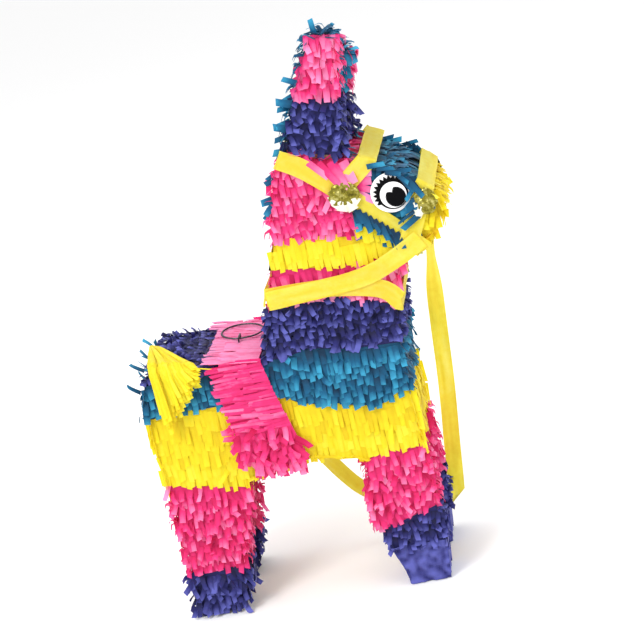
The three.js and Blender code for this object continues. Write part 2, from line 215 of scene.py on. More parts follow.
def crepe_material(name, dark, middle, light, glow, crinkle=0.55):
    """Thin crinkled paper: its colour differs from flap to flap, the shade attribute also carries painted
    shade and painted highlights, and light comes through it.
    """
    m = Material(name)
    mottle = m.math("SUBTRACT", m.noise(m.place, 160.0), 0.5)
    factor = m.math("ADD", m.attribute("shade", "Fac"), m.math("MULTIPLY", mottle, 0.35))
    colour = m.ramp(factor, [(0.0, dark), (0.5, middle), (1.0, light)])
    normal = m.bump(m.noise(m.attribute("paper", "Vector"), 1.0, 4.0, 0.6), crinkle, 0.0006)
    through = m.node("ShaderNodeBsdfTranslucent", {"Color": colour, "Normal": normal}).outputs["BSDF"]
    blend = m.node("ShaderNodeMixShader", {0: glow, 1: m.shader.outputs["BSDF"], 2: through})
    m.feed(m.tree.nodes["Material Output"], {"Surface": blend.outputs["Shader"]})
    return m.surface(colour, normal, 0.62, Specular_IOR_Level=0.28, Sheen_Weight=0.12, Sheen_Roughness=0.5)


def cardboard_material():
    m = Material("cardboard")
    fibre = m.noise(m.place, 420.0, 5.0, 0.7)
    blotch = m.noise(m.place, 28.0, 2.0)
    factor = m.math("ADD", m.math("MULTIPLY", fibre, 0.6), m.math("MULTIPLY", blotch, 0.4))
    colour = m.ramp(factor, [(0.3, (0.30, 0.19, 0.10)),
                             (0.55, (0.46, 0.31, 0.17)),
                             (0.8, (0.58, 0.42, 0.25))])
    return m.surface(colour, m.bump(fibre, 0.4, 0.0004), 0.85)


def foil_material():
    m = Material("gold_foil")
    fold = m.node("ShaderNodeTexVoronoi", {"Vector": m.place, "Scale": 260.0}, feature="F1")
    fine = m.noise(m.place, 500.0, 4.0, 0.6)
    colour = m.ramp(m.noise(m.place, 190.0, 4.0, 0.7), [(0.3, (0.06, 0.05, 0.005)),
                                                        (0.5, (0.22, 0.19, 0.02)),
                                                        (0.72, (0.60, 0.55, 0.20))])
    height = m.math("ADD", fold.outputs["Distance"], m.math("MULTIPLY", fine, 0.4))
    return m.surface(colour, m.bump(height, 0.9, 0.0012), 0.28, Metallic=0.85)


def paper_material(name, dark, light):
    m = Material(name)
    grain = m.noise(m.place, 900.0, 4.0, 0.7)
    colour = m.ramp(grain, [(0.3, dark), (0.7, light)])
    return m.surface(colour, m.bump(grain, 0.2, 0.0002), 0.7, Specular_IOR_Level=0.06)


def wire_material():
    m = Material("hanger_wire")
    grain = m.noise(m.place, 700.0, 4.0, 0.6)
    colour = m.ramp(grain, [(0.3, (0.03, 0.03, 0.035)), (0.7, (0.12, 0.12, 0.13))])
    return m.surface(colour, m.bump(grain, 0.3, 0.0002), 0.38, Metallic=0.9)


PURPLE = crepe_material("purple_crepe", (0.004, 0.004, 0.045), (0.018, 0.019, 0.15), (0.11, 0.12, 0.46),
                        0.2)
TEAL = crepe_material("teal_crepe", (0.001, 0.03, 0.075), (0.002, 0.105, 0.225), (0.04, 0.36, 0.58), 0.25)
YELLOW = crepe_material("yellow_crepe", (0.74, 0.5, 0.004), (0.89, 0.74, 0.012), (0.95, 0.88, 0.06), 0.35)
PINK = crepe_material("pink_crepe", (0.58, 0.006, 0.09), (0.88, 0.038, 0.235), (0.97, 0.32, 0.6), 0.35)
RIBBON = crepe_material("yellow_ribbon", (0.74, 0.46, 0.01), (0.87, 0.72, 0.05), (0.94, 0.9, 0.24), 0.35,
                        crinkle=0.8)
PALE = crepe_material("pale_ribbon", (0.7, 0.66, 0.4), (0.9, 0.89, 0.76), (0.97, 0.97, 0.94), 0.3)
CARDBOARD = cardboard_material()
FOIL = foil_material()
WHITE = paper_material("white_card", (0.80, 0.80, 0.80), (0.93, 0.93, 0.93))
BLACK = paper_material("black_card", (0.001, 0.001, 0.0015), (0.003, 0.003, 0.004))
WIRE = wire_material()


# ---------------------------------------------------------------- paper meshes

class Paper:
    """A paper mesh under construction: its points, and for each a shade and its place on the sheet."""

    def __init__(self):
        self.points = []
        self.shades = []
        self.places = []
        self.faces = []
        self.slots = []
        self.smooth = []

    def face(self, corners, slot=0, smooth=False):
        self.faces.append(corners)
        self.slots.append(slot)
        self.smooth.append(smooth)

    def grid(self, rows, shades, places, slot=0):
        """rows of points, all as long, joined into quads."""
        start = len(self.points)
        width = len(rows[0])
        for row, row_shades, row_places in zip(rows, shades, places):
            self.points.extend(row)
            self.shades.extend(row_shades)
            self.places.extend(row_places)
        for i in range(len(rows) - 1):
            for j in range(width - 1):
                a = start + i * width + j
                self.face((a, a + 1, a + width + 1, a + width), slot, True)

    def build(self, name, materials, body, slot, replaced=()):
        mesh = bpy.data.meshes.new(name)
        mesh.from_pydata([tuple(c * MM for c in p) for p in self.points], [], self.faces)
        shade = mesh.attributes.new("shade", "FLOAT", "POINT")
        shade.data.foreach_set("value", self.shades)
        paper = mesh.attributes.new("paper", "FLOAT_VECTOR", "POINT")
        paper.data.foreach_set("vector", [c for place in self.places for c in place])
        for material in materials:
            mesh.materials.append(material)
        mesh.polygons.foreach_set("material_index", self.slots)
        mesh.polygons.foreach_set("use_smooth", self.smooth)
        return add_piece(name, mesh, body, replaced)


def add_piece(name, mesh, body, replaced=()):
    piece = bpy.data.objects.new(name, mesh)
    bpy.context.scene.collection.objects.link(piece)
    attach(piece, body)
    if replaced:
        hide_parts(*replaced)
    return piece


# ---------------------------------------------------------------- flat patches of a CAD crepe band

def triangles_of(node):
    """(corners, unit normal, area) of each triangle of a CAD node."""
    mesh = nodes[node].data
    mesh.calc_loop_triangles()
    found = []
    for tri in mesh.loop_triangles:
        a, b, c = (mesh.vertices[i].co / MM for i in tri.vertices)
        normal = (b - a).cross(c - a)
        if normal.length > 1e-4:
            found.append(((a, b, c), normal.normalized(), normal.length / 2))
    return found


def key_of(p):
    return (round(p.x, 1), round(p.y, 1), round(p.z, 1))


def boundary_loops(triangles):
    """The closed outlines in (x, z) of a set of triangles in one upright plane."""
    onward = {}
    edges = set()
    for corners, _, _ in triangles:
        keys = [key_of(p) for p in corners]
        for i in range(3):
            edges.add((keys[i], keys[(i + 1) % 3]))
    for a, b in edges:
        if (b, a) not in edges and a != b:
            onward.setdefault(a, []).append(b)
    loops = []
    while onward:
        start = next(iter(onward))
        loop, here = [], start
        while here in onward:
            loop.append(here)
            ends = onward[here]
            following = ends.pop()
            if not ends:
                del onward[here]
            here = following
        if len(loop) > 2:
            loops.append([(x, z) for x, _, z in loop])
    return loops


class SidePatch:
    """One flat side of a band: its outline in (x, z) at a fixed y, facing out along facing * Y."""

    def __init__(self, y, facing, outline):
        self.y = y
        self.facing = facing
        self.set_outline(outline)

    def set_outline(self, outline):
        self.outline = outline
        self.low_x = min((x for x, _ in outline), default=0)
        self.high_x = max((x for x, _ in outline), default=0)

    def span(self, z):
        """Lowest and highest x of the outline at z, or None."""
        found = cuts(self.outline, 1, z)
        return (found[0], found[-1]) if len(found) > 1 else None

    def crossings(self, x):
        """Heights at which the outline crosses the upright line at x."""
        return cuts(self.outline, 0, x)


class EdgePatch:
    """One flat rectangle across the donkey: from low to high in (x, z), between two y."""

    def __init__(self, low, high, y_range, normal):
        self.low = low
        self.high = high
        self.y_range = y_range
        self.normal = normal

    def cut(self, keep):
        """The part of this patch where keep((x, z)) is positive, or None."""
        first, last = keep((self.low.x, self.low.z)), keep((self.high.x, self.high.z))
        if first <= 0 and last <= 0:
            return None
        low, high = self.low, self.high
        if first * last < 0:
            middle = low + (high - low) * (first / (first - last))
            low, high = (middle, high) if last > 0 else (low, middle)
        if (high - low).length < 3:
            return None
        return EdgePatch(low, high, self.y_range, self.normal)


def patches_of(node):
    """The outer flat patches of a crepe band, sides and edges."""
    sides, edges = {}, {}
    for triangle in triangles_of(node):
        corners, normal, area = triangle
        if abs(normal.y) > 0.99:
            sides.setdefault((round(corners[0].y, 1), round(normal.y)), []).append(triangle)
        elif abs(normal.y) < 0.02:
            depth = round(normal.dot(corners[0]) * 2)
            edges.setdefault((round(normal.x, 1), round(normal.z, 1), depth), []).append(triangle)
    planes = {-HALF_WIDTH: -1, HALF_WIDTH: 1}
    for inner in (LEG_INNER_Y, EAR_INNER_Y):
        planes.update({-inner: 1, inner: -1})
    side_patches = []
    for (y, facing), triangles in sides.items():
        if planes.get(y) == facing:
            side_patches += [SidePatch(y, facing, loop) for loop in boundary_loops(triangles)]
    edge_patches = []
    for triangles in edges.values():
        patch = edge_patch(triangles)
        if patch and (max(abs(y) for y in patch.y_range) > HALF_WIDTH - 1 or node == "fill_flap_crepe"):
            edge_patches.append(patch)
    return side_patches, edge_patches


def edge_patch(triangles):
    """A rectangle around coplanar triangles, or None if they don't nearly fill it."""
    normal = triangles[0][1]
    along = Vector((-normal.z, 0, normal.x))
    if along.z < 0 or (abs(along.z) < 0.12 and along.x < 0):
        along.negate()
    points = [p for corners, _, _ in triangles for p in corners]
    reach = [p.dot(along) for p in points]
    ys = [p.y for p in points]
    area = sum(t[2] for t in triangles)
    filled = area / max((max(reach) - min(reach)) * (max(ys) - min(ys)), 1e-3)
    across = max(ys) - min(ys)
    if across < 25 or filled < 0.62 or max(reach) - min(reach) < 2:
        return None
    origin = points[0] - along * points[0].dot(along)
    low, high = (point((p.x, p.z)) for p in (origin + along * min(reach), origin + along * max(reach)))
    return EdgePatch(low, high, (min(ys), max(ys)), normal)


def whole(_):
    """The line that cuts nothing."""
    return 1


def backing(paper, node, side_patches, edge_patches, over=whole, slot_at=None):
    """The closed skin of a band with its outer faces moved in, which the fringe is glued on.
    Its faces are cut along the line over((x, z)) = 0, and slot_at(point) gives each its material."""
    planes = [(outward(s.facing), s.y * s.facing) for s in side_patches]
    planes += [(e.normal, e.normal.dot(e.low)) for e in edge_patches]
    merged, order = {}, []
    start = len(paper.points)
    for corners, _, _ in triangles_of(node):
        for sign in (1, -1):
            part = clip(list(corners), lambda p: sign * over((p[0], p[2])))
            face = []
            for p in part:
                key = key_of(Vector(p))
                if key not in merged:
                    merged[key] = start + len(order)
                    order.append(Vector(p))
                if merged[key] not in face:
                    face.append(merged[key])
            if len(face) > 2:
                middle = sum((Vector(p) for p in part), Vector()) / len(part)
                paper.face(tuple(face), slot_at(middle) if slot_at else 0)
    for p in order:
        near = [n for n, depth in planes if abs(n.dot(p) - depth) < 0.15]
        paper.points.append(moved_in(p, near))
        # The backing is painted dark: painted shade where it shows in the gaps between the flaps.
        paper.shades.append(0.25)
        paper.places.append(tuple(p))


def moved_in(p, normals):
    """p moved so that it lies UNDER_MM inside each of the planes through it."""
    moved = p.copy()
    for _ in range(12):
        for n in normals:
            moved -= n * (n.dot(moved - p) + UNDER_MM)
    moved.z = max(moved.z, FLOOR_CLEAR_MM)
    return moved


# ---------------------------------------------------------------- fringe

class Style:
    """How one band's flaps are cut and how crumpled they are. Lengths in mm, angles in degrees."""

    spacing = 12       # from row to row
    length = 19
    width = 5.2
    tilt = 14          # how far a flap stands out at its root, and how much that varies
    tilt_spread = 12
    yaw = 8            # how far flaps turn sideways
    curl = 26          # how far they bend along their length
    slope = None       # rise of the rows towards the front; None lets them follow the band's lower edge
    stray = 0.03       # share of flaps that stick out
    tips = 0.2         # how strong the painted highlight on the tips and the painted shade at the roots are
    spread = 0.13      # how much the shade varies from flap to flap
    flat = 9.0         # greatest height above the backing
    shade = 0.48
    hang = 1.5         # how far the lowest row hangs past the band's edge

    def __init__(self, **settings):
        self.settings = settings
        self.__dict__.update(settings)

    def changed(self, **settings):
        return Style(**{**self.settings, **settings})


def add_flap(paper, rng, style, root, down, out, length, row_shade, slot=0, flat=None, width=None,
             taper=0.1):
    """One paper flap hanging from root along down, springing out of the surface and curling at its tip.
    flat is the greatest height above the backing."""
    steps = 5
    rise_kept = 0.15        # of what would rise above flat, so that pressed flaps still differ
    side = down.cross(out)
    flat = style.flat if flat is None else min(flat, style.flat)
    width = (width or style.width) * rng.uniform(0.78, 1.12)
    tilt = math.radians(rng.gauss(style.tilt, style.tilt_spread))
    yaw = math.radians(rng.gauss(0, style.yaw))
    bend = math.radians(rng.gauss(-style.tilt * 0.6, style.curl)) / steps
    sway = math.radians(rng.gauss(0, style.yaw * 0.8)) / steps
    twist = math.radians(rng.gauss(0, 16))
    if rng.random() < style.stray:
        tilt += math.radians(rng.uniform(25, 60))
        yaw += math.radians(rng.uniform(-50, 50))
    cup = rng.uniform(-0.9, 1.1)
    shade = min(max(row_shade + rng.gauss(0, style.spread), 0.02), 0.95)
    skew = rng.uniform(-1.2, 1.2)
    seed_x = rng.uniform(0, 90)
    centre = root.copy()
    height = out.dot(root)
    lowest = height + rng.uniform(0.15, 0.55)
    rows, shades, places = [], [], []
    step = length / steps
    for i in range(steps + 1):
        t = i / steps
        forward = down * math.cos(yaw) + side * math.sin(yaw)
        across = side * math.cos(yaw) - down * math.sin(yaw)
        lean = max(min(tilt, 1.9), -0.5)
        travel = forward * math.cos(lean) + out * math.sin(lean)
        up = out * math.cos(lean) - forward * math.sin(lean)
        turn = twist * t
        across_turned = across * math.cos(turn) + up * math.sin(turn)
        half = width / 2 * (1 - taper * t)
        lift = cup * (0.25 + t * 0.55)
        cut = skew * t * t
        left = centre - across_turned * half + travel * cut
        right = centre + across_turned * half - travel * cut
        row = [left, centre + up * lift, right]
        for p in row:
            low = lowest + 0.9 * t - out.dot(p)
            if low > 0:
                p += out * low
            high = out.dot(p) - height - flat
            if high > 0:
                p -= out * high * (1 - rise_kept)
            if p.z < FLOOR_CLEAR_MM:
                p.z = FLOOR_CLEAR_MM
        rows.append(row)
        # Painted light: painted shade towards the root, a painted highlight towards the tip, and the middle
        # painted a little lighter than the edges as painted shading across the flap.
        tip = style.tips * (t - 0.45)
        shades.append([shade + tip - 0.04, shade + tip + 0.05, shade + tip - 0.04])
        places.append([(seed_x + part * half, t * length, 0) for part in (-1, 0, 1)])
        centre = centre + travel * step
        tilt += bend
        yaw += sway
        rise = out.dot(centre) - height
        if rise < 0.4 and tilt < 0:
            tilt = abs(tilt) * 0.3
        if rise > flat * 0.7 and tilt > 0.2:
            tilt *= 0.6
    paper.grid(rows, shades, places, slot)


class Covers:
    """Where something lies over the fringe, so that the flaps there are pressed flat."""

    FREE = 9.0
    PRESSED = 3.4

    def __init__(self):
        self.strips = []       # (line, half width, height under it, facing or 0 for both sides)
        self.discs = []        # (centre, radius)
        self.crossings = []    # where ribbons cross from side to side

    def flat(self, x, z, facing):
        """Greatest height above the backing that a flap may have there, on the side that faces facing."""
        highest = self.FREE
        for line, half, over, faces in self.strips:
            if (not faces or faces == facing) and distance_to_line(x, z, line) < half:
                highest = min(highest, over)
        for (cx, cz), radius in self.discs:
            if math.hypot(x - cx, z - cz) < radius + 2:
                highest = min(highest, self.PRESSED)
        return highest

    def flat_edge(self, p):
        """The same for a point on an edge face."""
        near = any(math.hypot(p.x - x, p.z - z) < RIBBON_WIDTH / 2 + 3 for x, z in self.crossings)
        return self.PRESSED if near else self.FREE - 0.5


def distance_to_line(x, z, line):
    best = 1e9
    for (x0, z0), (x1, z1) in zip(line, line[1:]):
        dx, dz = x1 - x0, z1 - z0
        t = max(0, min(1, ((x - x0) * dx + (z - z0) * dz) / (dx * dx + dz * dz)))
        best = min(best, math.hypot(x - x0 - dx * t, z - z0 - dz * t))
    return best


covers = Covers()


def fringe_side(paper, rng, patch, style, slot=0):
    """Rows of flaps over one flat side, the lowest row hanging just past the band's lower edge."""
    y = patch.y - patch.facing * UNDER_MM
    out = outward(patch.facing)
    lowest = min(z - (style.slope or 0) * x for x, z in patch.outline)
    highest = max(z for _, z in patch.outline) + 40
    first = style.length * 0.82
    row = 0
    placed = True
    while placed or row < 3:
        placed = False
        row_shade = style.shade + rng.uniform(-0.12, 0.12)
        shift = rng.uniform(0, style.width)
        x = patch.low_x - 3 + shift
        while x < patch.high_x + 3:
            inner_x = min(max(x, patch.low_x + 0.5), patch.high_x - 0.5)
            crossed = patch.crossings(inner_x)
            step = style.width * rng.uniform(0.72, 0.98)
            if len(crossed) < 2:
                x += step
                continue
            low = lowest + style.slope * x if style.slope is not None else crossed[0]
            top = crossed[-1]
            waver = 1.6 * noise.noise(Vector((x * 0.03, row * 3.1, y)))
            z = low + first + row * style.spacing + waver
            last_row = row == 0
            if last_row and z > top - 1:
                z = top - 1
            if z <= top + 3 and z > crossed[0] + 1 and z < highest:
                placed = True
                if last_row:
                    length = z - low + style.hang + rng.uniform(-3.5, 3.5)
                else:
                    length = style.length * rng.uniform(0.75, 1.2)
                flat = style.flat
                if abs(y) > 50:
                    heights = [z - length * part for part in (0, 0.5, 1)]
                    flat = min(covers.flat(inner_x, height, patch.facing) for height in heights)
                add_flap(paper, rng, style, Vector((inner_x, y, z)), DOWN, out, max(length, 7), row_shade,
                         slot, flat)
            x += step
        row += 1


def fringe_edge(paper, rng, patch, style, slot=0, limit=None):
    """Rows of flaps across one edge face. limit(x, y) is how long a flap that starts there may be."""
    out = patch.normal
    along = (patch.high - patch.low)
    reach = along.length
    along.normalize()
    down = -along
    low = patch.low - out * UNDER_MM
    rough = style.changed(tilt=style.tilt + 6, tilt_spread=style.tilt_spread + 4, yaw=style.yaw + 4,
                          curl=style.curl + 6, stray=style.stray * 2)
    rows = [min(style.length * 0.7, reach - 0.5)]
    while rows[-1] + style.spacing < reach:
        rows.append(rows[-1] + style.spacing)
    if reach - rows[-1] > 2.5:
        rows.append(reach - 0.5)
    for distance in rows:
        row_shade = style.shade + rng.uniform(-0.14, 0.10)
        y = patch.y_range[0] + rng.uniform(1, style.width * 0.8)
        while y < patch.y_range[1] - 1:
            root = low + along * distance + outward(y)
            length = style.length * rng.uniform(0.7, 1.15)
            if limit:
                length = min(length, limit(root.x, root.y))
            if length > 4:
                flat = min(covers.flat_edge(root + down * length * part) for part in (0, 0.5, 1))
                add_flap(paper, rng, rough, root, down, out, length, row_shade, slot, flat)
            y += style.width * rng.uniform(0.72, 0.98)


# ---------------------------------------------------------------- where the dressing lies, mm

CROWN = [(27, 447), (52, 430), (102, 379), (139, 338)]
BROW = [(76, 408), (106, 431)]
NOSE_BAND = [(124, 341), (145, 384), (152, 397)]
COLLAR = [(-16, 321), (45, 319), (91, 309), (107, 293)]
RIGHT_REIN = [(138, 349), (111, 335), (80, 324), (36, 320), (-15, 318)]
LEFT_REIN_DOWN = [(150, 383), (141, 345), (133, 304), (127, 247), (119, 160), (111, 93), (106, 48),
                  (103, 28)]
LEFT_REIN_BACK = [(103, 28), (76, 27), (50, 34), (9, 55), (-19, 93), (-38, 135), (-45, 165)]
SADDLE_LINE = [(-36, 151), (-50, 215), (-66, 270)]
TAIL_LINE = [(-140, 262), (-122, 240)]
EYE = (121, 397)
CHEEK = (79, 404)
NOSE = (150, 383)
RIBBON_WIDTH = 18
EAR_BASE, EAR_TOP = 448, 552
EAR_LINE = 498              # top of the right ear's purple, at its back edge
LID_HINGE = (-98, 268)      # the fill flap's front edge
LID_CLEARANCE = 37          # half the width in which the saddle's strips stay short for the fill flap

covers.strips += [(line, RIBBON_WIDTH / 2 + 2, 3.8, 0) for line in (CROWN, BROW, NOSE_BAND, COLLAR)]
covers.strips += [(RIGHT_REIN, RIBBON_WIDTH / 2 + 2, 4.4, -1)]
covers.strips += [(SADDLE_LINE, 27, 4.6, 0), (TAIL_LINE, 22, 4.0, -1)]
covers.discs += [(EYE, 17), (CHEEK, 13), (NOSE, 12)]
covers.crossings += [CROWN[0], CROWN[-1], BROW[-1], NOSE_BAND[0], NOSE_BAND[-1]]
covers.crossings += [COLLAR[0], COLLAR[-1], LID_HINGE]


# ---------------------------------------------------------------- bands of crepe

CRUMPLED = Style(spacing=7.2, length=11.5, width=5.8, tilt=26, tilt_spread=20, yaw=21, curl=44, stray=0.07,
                 tips=0.75, spread=0.2, shade=0.40)
NEAT = Style(spacing=9, length=15, width=6.6, tilt=13, tilt_spread=9, yaw=5, curl=20, stray=0.02,
             tips=0.6, spread=0.17, shade=0.42)
SMOOTH = Style(spacing=13, length=22, width=6.0, tilt=3, tilt_spread=3, yaw=2.5, curl=6, stray=0.006,
               tips=0.15, spread=0.09, flat=5)
LOOSE = Style(spacing=9, length=15, width=5.8, tilt=15, tilt_spread=14, yaw=10, curl=32, stray=0.05,
              tips=0.5, spread=0.16, shade=0.40)
BANDS = {
    "head_pink_crepe": (PINK, "pink_crepe", LOOSE.changed(slope=-0.13, tilt=9, tilt_spread=8, shade=0.57)),
    "face_teal_crepe": (TEAL, "teal_crepe", NEAT.changed(slope=-0.5)),
    "muzzle_yellow_crepe": (YELLOW, "yellow_crepe", LOOSE.changed(tips=0.2, tilt=12)),
    "neck_yellow_crepe": (YELLOW, "yellow_crepe", SMOOTH),
    "neck_pink_crepe": (PINK, "pink_crepe", LOOSE.changed(tilt=8, tilt_spread=6, shade=0.58)),
    "body_purple_crepe": (PURPLE, "purple_crepe", CRUMPLED),
    "body_teal_crepe": (TEAL, "teal_crepe", NEAT),
    "body_yellow_crepe": (YELLOW, "yellow_crepe", SMOOTH),
}
LEG = LOOSE.changed(stray=0.10, tilt=18)
FOOT = CRUMPLED.changed(slope=0.0)
for side_name in SIDES:
    BANDS[f"{side_name}_hind_leg_pink_crepe"] = (PINK, "pink_crepe", LEG.changed(slope=0.0))
    BANDS[f"{side_name}_fore_leg_pink_crepe"] = (PINK, "pink_crepe", LEG.changed(slope=0.277))
    BANDS[f"{side_name}_hind_foot_crepe"] = (PURPLE, "purple_crepe", FOOT.changed(length=17))
    BANDS[f"{side_name}_fore_foot_crepe"] = (PURPLE, "purple_crepe", FOOT)


def room_on_back():
    """A function of (x, y) for how long a flap on the back may be: 0 on the fill flap and the saddle."""
    low, high = (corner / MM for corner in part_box("fill_flap_crepe"))
    saddle_rear, saddle_front = Saddle().edges(262)

    def room(x, y):
        if x > saddle_rear:
            return max(x - saddle_front - 1, 0)
        if x < low.x - 1 or not low.y - 1 < y < high.y + 1:
            return 99
        return max(x - high.x - 1, 0)

    return room


def make_bands():
    additions = {
        "head_pink_crepe": add_temple_flaps,
        "face_teal_crepe": add_face_strands,
        "neck_yellow_crepe": fringe_cheeks,
        "body_teal_crepe": add_rump_strands,
    }
    for number, (node, (material, slot, style)) in enumerate(BANDS.items()):
        rng = random.Random(100 + number)
        paper = Paper()
        sides, edges = patches_of(node)
        backing(paper, node, sides, edges)
        if node.endswith("fore_foot_crepe"):
            edges = wrap_foot(paper, sides, edges)
        for patch in sides:
            fringe_side(paper, rng, patch, style)
        for patch in edges:
            on_back = node == "body_purple_crepe" and patch.normal.z > 0.9
            fringe_edge(paper, rng, patch, style, limit=room_on_back() if on_back else None)
        if node in additions:
            additions[node](paper, rng)
        paper.build(node.replace("_crepe", "_fringe"), [material], "donkey", slot, [node])


def wrap_foot(paper, sides, edges):
    """The crumpled paper wound round a fore foot. It cuts the side patches down to what is left for fringe
    above it, and returns what is left of the edge patches."""
    top = 44                # the fringe hangs 6 to 8 mm over it
    folds = {"depth": 2.2, "shade": 0.8, "size": 0.17}
    for patch in sides:
        y = patch.y - patch.facing
        rows = [(z, patch.span(z)) for z in range(1, top, 2)]
        grid = [[(low + (high - low) * t, y, z) for t in unit(20)] for z, (low, high) in rows]
        add_crumpled(paper, grid, outward(patch.facing), **folds)
        patch.set_outline(clip(patch.outline, lambda p: p[1] - top + 8))
    above = []
    for patch in edges:
        if patch.normal.z <= -0.5:
            continue
        if patch.low.z < top:
            along = patch.high - patch.low
            reach = min(1.0, (top - patch.low.z) / max(along.z, 1))
            first, last = patch.y_range
            ys = [first + (last - first) * u for u in unit(18)]
            grid = [[tuple(patch.low + along * t * reach - patch.normal + outward(y)) for y in ys]
                    for t in unit(20)]
            add_crumpled(paper, grid, patch.normal, **folds)
        rest = patch.cut(lambda p: p[1] - top + 6)
        if rest:
            above.append(rest)
    return above


def add_crumpled(paper, grid, out, depth, shade, size=0.11):
    """A sheet over a grid of points, dented a little. size is how close together its dents are."""
    rows, shades, places = [], [], []
    for row in grid:
        dents = [noise.noise(Vector(p) * size) * depth for p in row]
        raised = [Vector((x, y, max(z, FLOOR_CLEAR_MM))) for x, y, z in row]
        rows.append([p + out * d for p, d in zip(raised, dents)])
        # Painted shade in the dents and painted light on the raised folds.
        shades.append([shade + 0.22 * d for d in dents])
        places.append([tuple(p) for p in row])
    paper.grid(rows, shades, places)


def fringe_cheeks(paper, rng):
    """The neck's yellow crepe carried up to the bridle, over the lower edge of the face."""
    cheek = [(80, 361), (136, 338), (131, 347), (84, 374)]
    style = SMOOTH.changed(length=14, spacing=9, slope=-0.42, flat=5.5)
    for facing in SIDES.values():
        fringe_side(paper, rng, SidePatch(facing * (HALF_WIDTH + 1.5), facing, cheek), style)


def add_strand(paper, rng, start, end, y, facing, width, shade):
    """One long flap on a side, from start to end."""
    down = point((end[0] - start[0], end[1] - start[1]))
    style = NEAT.changed(tilt=4, tilt_spread=4, yaw=3, curl=14, stray=0, flat=5)
    add_flap(paper, rng, style, point(start, facing * y), down.normalized(), outward(facing), down.length,
             shade, width=width)


def add_face_strands(paper, rng):
    """Teal strands over the eye's corner and the nose, and the row that hangs from the bridle's cheek."""
    strands = [
        ((133, 420), (142, 394)), ((137, 417), (149, 388)), ((131, 421), (139, 403)),
        ((141, 412), (158, 376)), ((120, 424), (134, 413)), ((113, 428), (129, 421)),
        ((105, 431), (122, 424)), ((124, 425), (144, 416)), ((145, 390), (130, 380)),
        ((146, 384), (126, 375)), ((143, 378), (121, 369)), ((142, 372), (124, 362)),
        ((143, 398), (133, 387)), ((147, 392), (138, 378)),
    ]
    for facing in SIDES.values():
        for (x, z), end in strands:
            drop = 6 if facing > 0 and end[1] > 412 else 0
            start = (x, min(z, forehead_height(x)) - drop)
            add_strand(paper, rng, start, (end[0], end[1] - drop), 62.2, facing, rng.uniform(4.5, 6.5),
                       rng.uniform(0.12, 0.5))
        for i in range(9):
            x = 84 + i * 4.2
            z = 391 - (x - 84) * 0.95
            add_strand(paper, rng, (x, z), (x + 5, z - rng.uniform(15, 19)), 59.5, facing, 5.4,
                       rng.uniform(0.1, 0.5))


def forehead_height(x):
    """Height just under the forehead's edge at x."""
    return 436 - (x - 84) * 0.52


def add_temple_flaps(paper, rng):
    """Broad pink flaps in front of the ears and above the cheek rosette."""
    broad = [
        ((62, 437), (80, 410)), ((74, 436), (84, 408)), ((84, 434), (90, 412)), ((50, 443), (70, 424)),
        ((92, 408), (108, 402)), ((90, 414), (106, 411)), ((92, 402), (104, 392)), ((95, 421), (108, 420)),
    ]
    for facing in SIDES.values():
        for start, end in broad:
            add_strand(paper, rng, start, end, 58.5, facing, rng.uniform(7, 10), rng.uniform(0.5, 0.9))


def add_rump_strands(paper, rng):
    """A few strands that stand out at the rump's upper corner."""
    style = NEAT.changed(tilt=24, tilt_spread=18, stray=0, flat=14)
    for i in range(12):
        root = Vector((-160, rng.uniform(-54, 54), rng.uniform(246, 262)))
        aim = Vector((-0.35, rng.uniform(-0.3, 0.3), rng.uniform(0.5, 1.0))).normalized()
        add_flap(paper, rng, style, root, aim, Vector((-1, 0, 0)), rng.uniform(10, 15), 0.55)


def make_ears():
    """Ears: pink over purple outside, teal over purple inside, teal strands along the back and the tip."""
    edge_style = LOOSE.changed(spacing=8, width=4.6, tilt=24, tilt_spread=18, yaw=20, stray=0.12)
    purple, pink, teal = range(3)
    for side, sign in SIDES.items():
        node = f"{side}_ear_crepe"
        rng = random.Random(40 + sign)
        paper = Paper()
        sides, edges = patches_of(node)
        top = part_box(node)[1].z / MM
        line = EAR_BASE + (EAR_LINE - EAR_BASE) * (top - EAR_BASE) / (EAR_TOP - EAR_BASE)

        def over(p):
            return p[1] - line + 0.16 * (p[0] - 50)

        def under(p):
            return -over(p)

        def backing_slot(p):
            if over((p.x, p.z)) < 0:
                return purple
            return pink if abs(p.y) > 42 else teal

        backing(paper, node, sides, edges, over, backing_slot)
        for patch in sides:
            outline = patch.outline
            patch.set_outline(clip(outline, under))
            fringe_side(paper, rng, patch, CRUMPLED.changed(hang=5), purple)
            patch.set_outline(clip(outline, over))
            fringe_side(paper, rng, patch, LOOSE.changed(slope=-0.16, shade=0.62),
                        pink if patch.facing == sign else teal)
        for patch in edges:
            behind = patch.normal.x < -0.3 or patch.normal.z > 0.8
            for part, slot in ((patch.cut(over), pink), (patch.cut(under), purple)):
                if part:
                    fringe_edge(paper, rng, part, edge_style, teal if behind else slot)
        add_ear_tufts(paper, rng, node, sign, top, teal)
        paper.build(f"{side}_ear_fringe", [PURPLE, PINK, TEAL], "donkey", "pink_crepe", [node])


def widest_side(node, facing):
    patches = [patch for patch in patches_of(node)[0] if patch.facing == facing]
    return max(patches, key=lambda patch: patch.high_x - patch.low_x)


